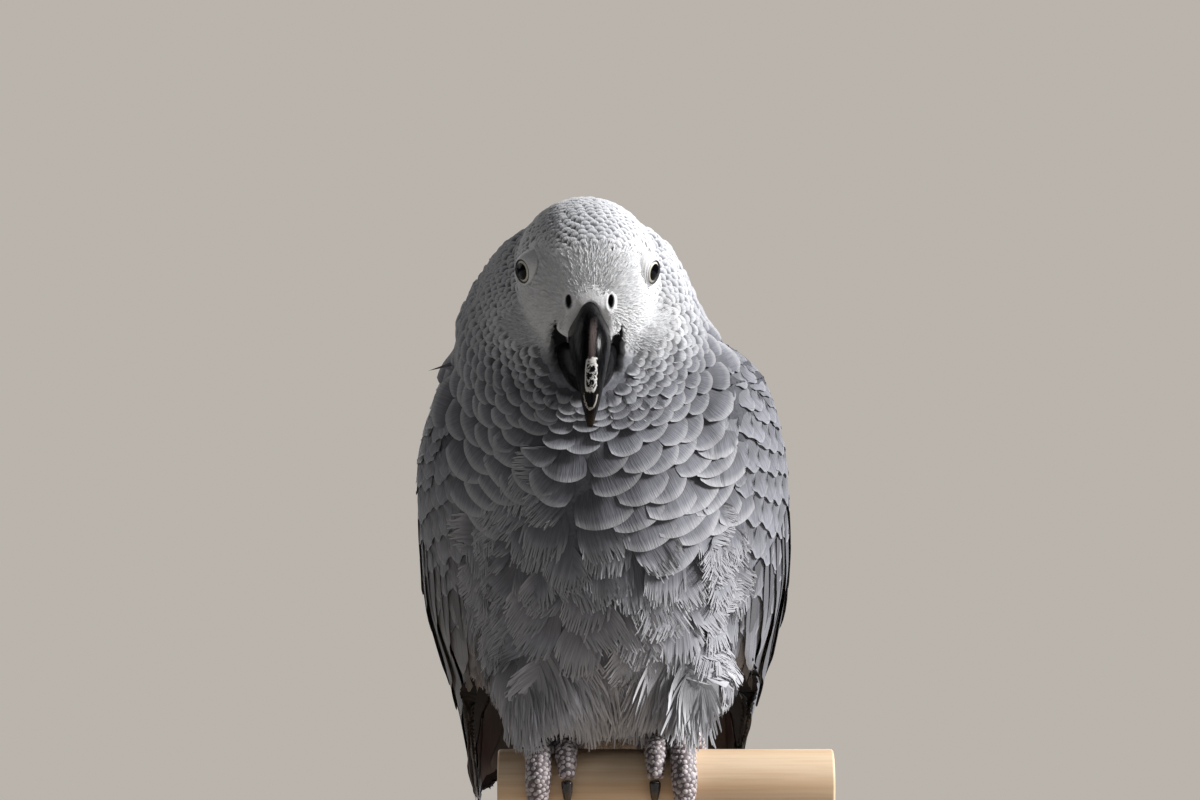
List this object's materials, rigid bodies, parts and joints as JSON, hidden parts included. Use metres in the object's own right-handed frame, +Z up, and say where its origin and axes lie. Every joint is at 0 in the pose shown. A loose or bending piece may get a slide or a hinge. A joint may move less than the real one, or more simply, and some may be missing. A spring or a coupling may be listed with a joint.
{
  "type": "grey parrot",
  "caption": "Hunched grey parrot with a hooked black bill, folded wings and a short red tail, gripping a short wooden perch on a plain display stand.",
  "frame": {"origin": "centre of the underside of the display stand's base", "axes": "+Z up, the bird faces -Y, and the bird's left side is towards +X"},
  "size_m": [0.15, 0.2161, 0.2516],
  "materials": {
    "plumage": "soft grey feathers with pale rims",
    "flight_feathers": "smooth dark grey vanes",
    "tail_feathers": "matte scarlet vanes",
    "horn": "black horn, satin to glossy",
    "eyes": "pale cream iris under a wet clear surface",
    "foot_skin": "fine pale scales, matte",
    "wood": "plain pine, satin"
  },
  "bodies": {
    "root": {"head": "plumage", "neck": "plumage", "trunk": "plumage", "bill_upper": "horn", "bill_lower": "horn", "eye_left": "eyes", "wing_left": "flight_feathers", "thigh_left": "plumage", "foot_left": "foot_skin", "claw_left_toe_1": "horn", "claw_left_toe_2": "horn", "claw_left_toe_3": "horn", "claw_left_toe_4": "horn", "eye_right": "eyes", "wing_right": "flight_feathers", "thigh_right": "plumage", "foot_right": "foot_skin", "claw_right_toe_1": "horn", "claw_right_toe_2": "horn", "claw_right_toe_3": "horn", "claw_right_toe_4": "horn", "tail": "tail_feathers", "stand_perch": "wood", "stand_rod_1": "wood", "stand_rod_2": "wood", "stand_base": "wood"}
  },
  "joints": []
}
